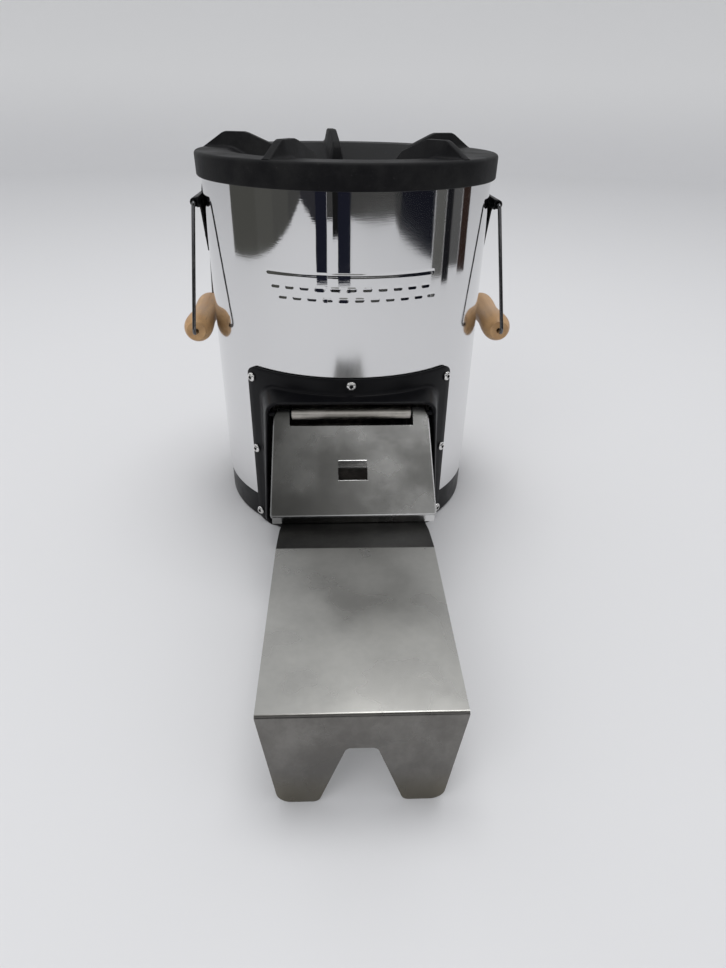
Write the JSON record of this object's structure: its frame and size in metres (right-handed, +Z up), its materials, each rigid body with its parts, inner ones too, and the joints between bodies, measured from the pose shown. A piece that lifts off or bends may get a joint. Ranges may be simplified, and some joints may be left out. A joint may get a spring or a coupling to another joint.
{
  "type": "rocket stove",
  "caption": "Portable wood-burning rocket stove with cast ribbed top, hinged feed door, pull-out fuel shelf and side bail handles",
  "frame": {"origin": "centre of the stove's flat bottom, on the ground", "axes": "+Z up along the round body's axis, -Y out through the feed opening, +X to the right seen from the front"},
  "size_m": [0.2852, 0.4894, 0.3133],
  "materials": {
    "polished_steel": "mirror-polished stainless sheet",
    "brushed_steel": "satin stainless sheet",
    "bright_steel": "bright zinc",
    "black_enamel": "satin black powder coat",
    "cast_iron": "matt black seasoned casting",
    "scaled_steel": "heat-scaled and sooty",
    "ceramic_fibre": "pressed ceramic fibre",
    "black_wire": "black-coated steel wire",
    "beech": "oiled turned beech"
  },
  "bodies": {
    "stove": {"base_pan": "black_enamel", "outer_shell": "polished_steel", "chimney_tube": "scaled_steel", "feed_tunnel": "scaled_steel", "upper_insulation": "ceramic_fibre", "lower_insulation": "ceramic_fibre", "top_collar": "scaled_steel", "pot_support_casting": "cast_iron", "front_bezel": "black_enamel", "hinge_pin": "black_enamel", "hinge_tube": "bright_steel", "left_bracket": "black_enamel", "right_bracket": "black_enamel", "bezel_screw_top_left": "bright_steel", "bezel_screw_top_middle": "bright_steel", "bezel_screw_top_right": "bright_steel", "bezel_screw_mid_left": "bright_steel", "bezel_screw_mid_right": "bright_steel", "bezel_screw_low_left": "bright_steel", "bezel_screw_low_right": "bright_steel", "left_bracket_rivet_low": "black_enamel", "left_bracket_rivet_high": "black_enamel", "right_bracket_rivet_low": "black_enamel", "right_bracket_rivet_high": "black_enamel", "casting_screw_1": "black_enamel", "casting_screw_2": "black_enamel", "casting_screw_3": "black_enamel"},
    "door": {"door_panel": "brushed_steel"},
    "shelf": {"fuel_shelf": "brushed_steel"},
    "left_handle": {"left_bail": "black_wire"},
    "right_handle": {"right_bail": "black_wire"},
    "left_handle_grip": {"left_grip": "beech"},
    "right_handle_grip": {"right_grip": "beech"}
  },
  "joints": [
    {"name": "door_swing", "type": "hinge", "parent": "stove", "child": "door", "pos_m": [0, -0.124, 0.1255], "axis": [-1, 0, 0], "range_deg": [0, 85]},
    {"name": "shelf_slide", "type": "slide", "parent": "stove", "child": "shelf", "axis": [0, -1, 0], "range_m": [0, 0.055]},
    {"name": "left_bail_swing", "type": "hinge", "parent": "stove", "child": "left_handle", "pos_m": [-0.1213, 0, 0.266], "axis": [0, 1, 0], "range_deg": [0, 165]},
    {"name": "right_bail_swing", "type": "hinge", "parent": "stove", "child": "right_handle", "pos_m": [0.1213, 0, 0.266], "axis": [0, -1, 0], "range_deg": [-1.2, 165]},
    {"name": "left_grip_turn", "type": "hinge", "parent": "left_handle", "child": "left_handle_grip", "pos_m": [-0.1296, 0, 0.16635], "axis": [0, 1, 0], "continuous": true},
    {"name": "right_grip_turn", "type": "hinge", "parent": "right_handle", "child": "right_handle_grip", "pos_m": [0.1316, 0, 0.16653], "axis": [0, 1, 0], "continuous": true}
  ]
}
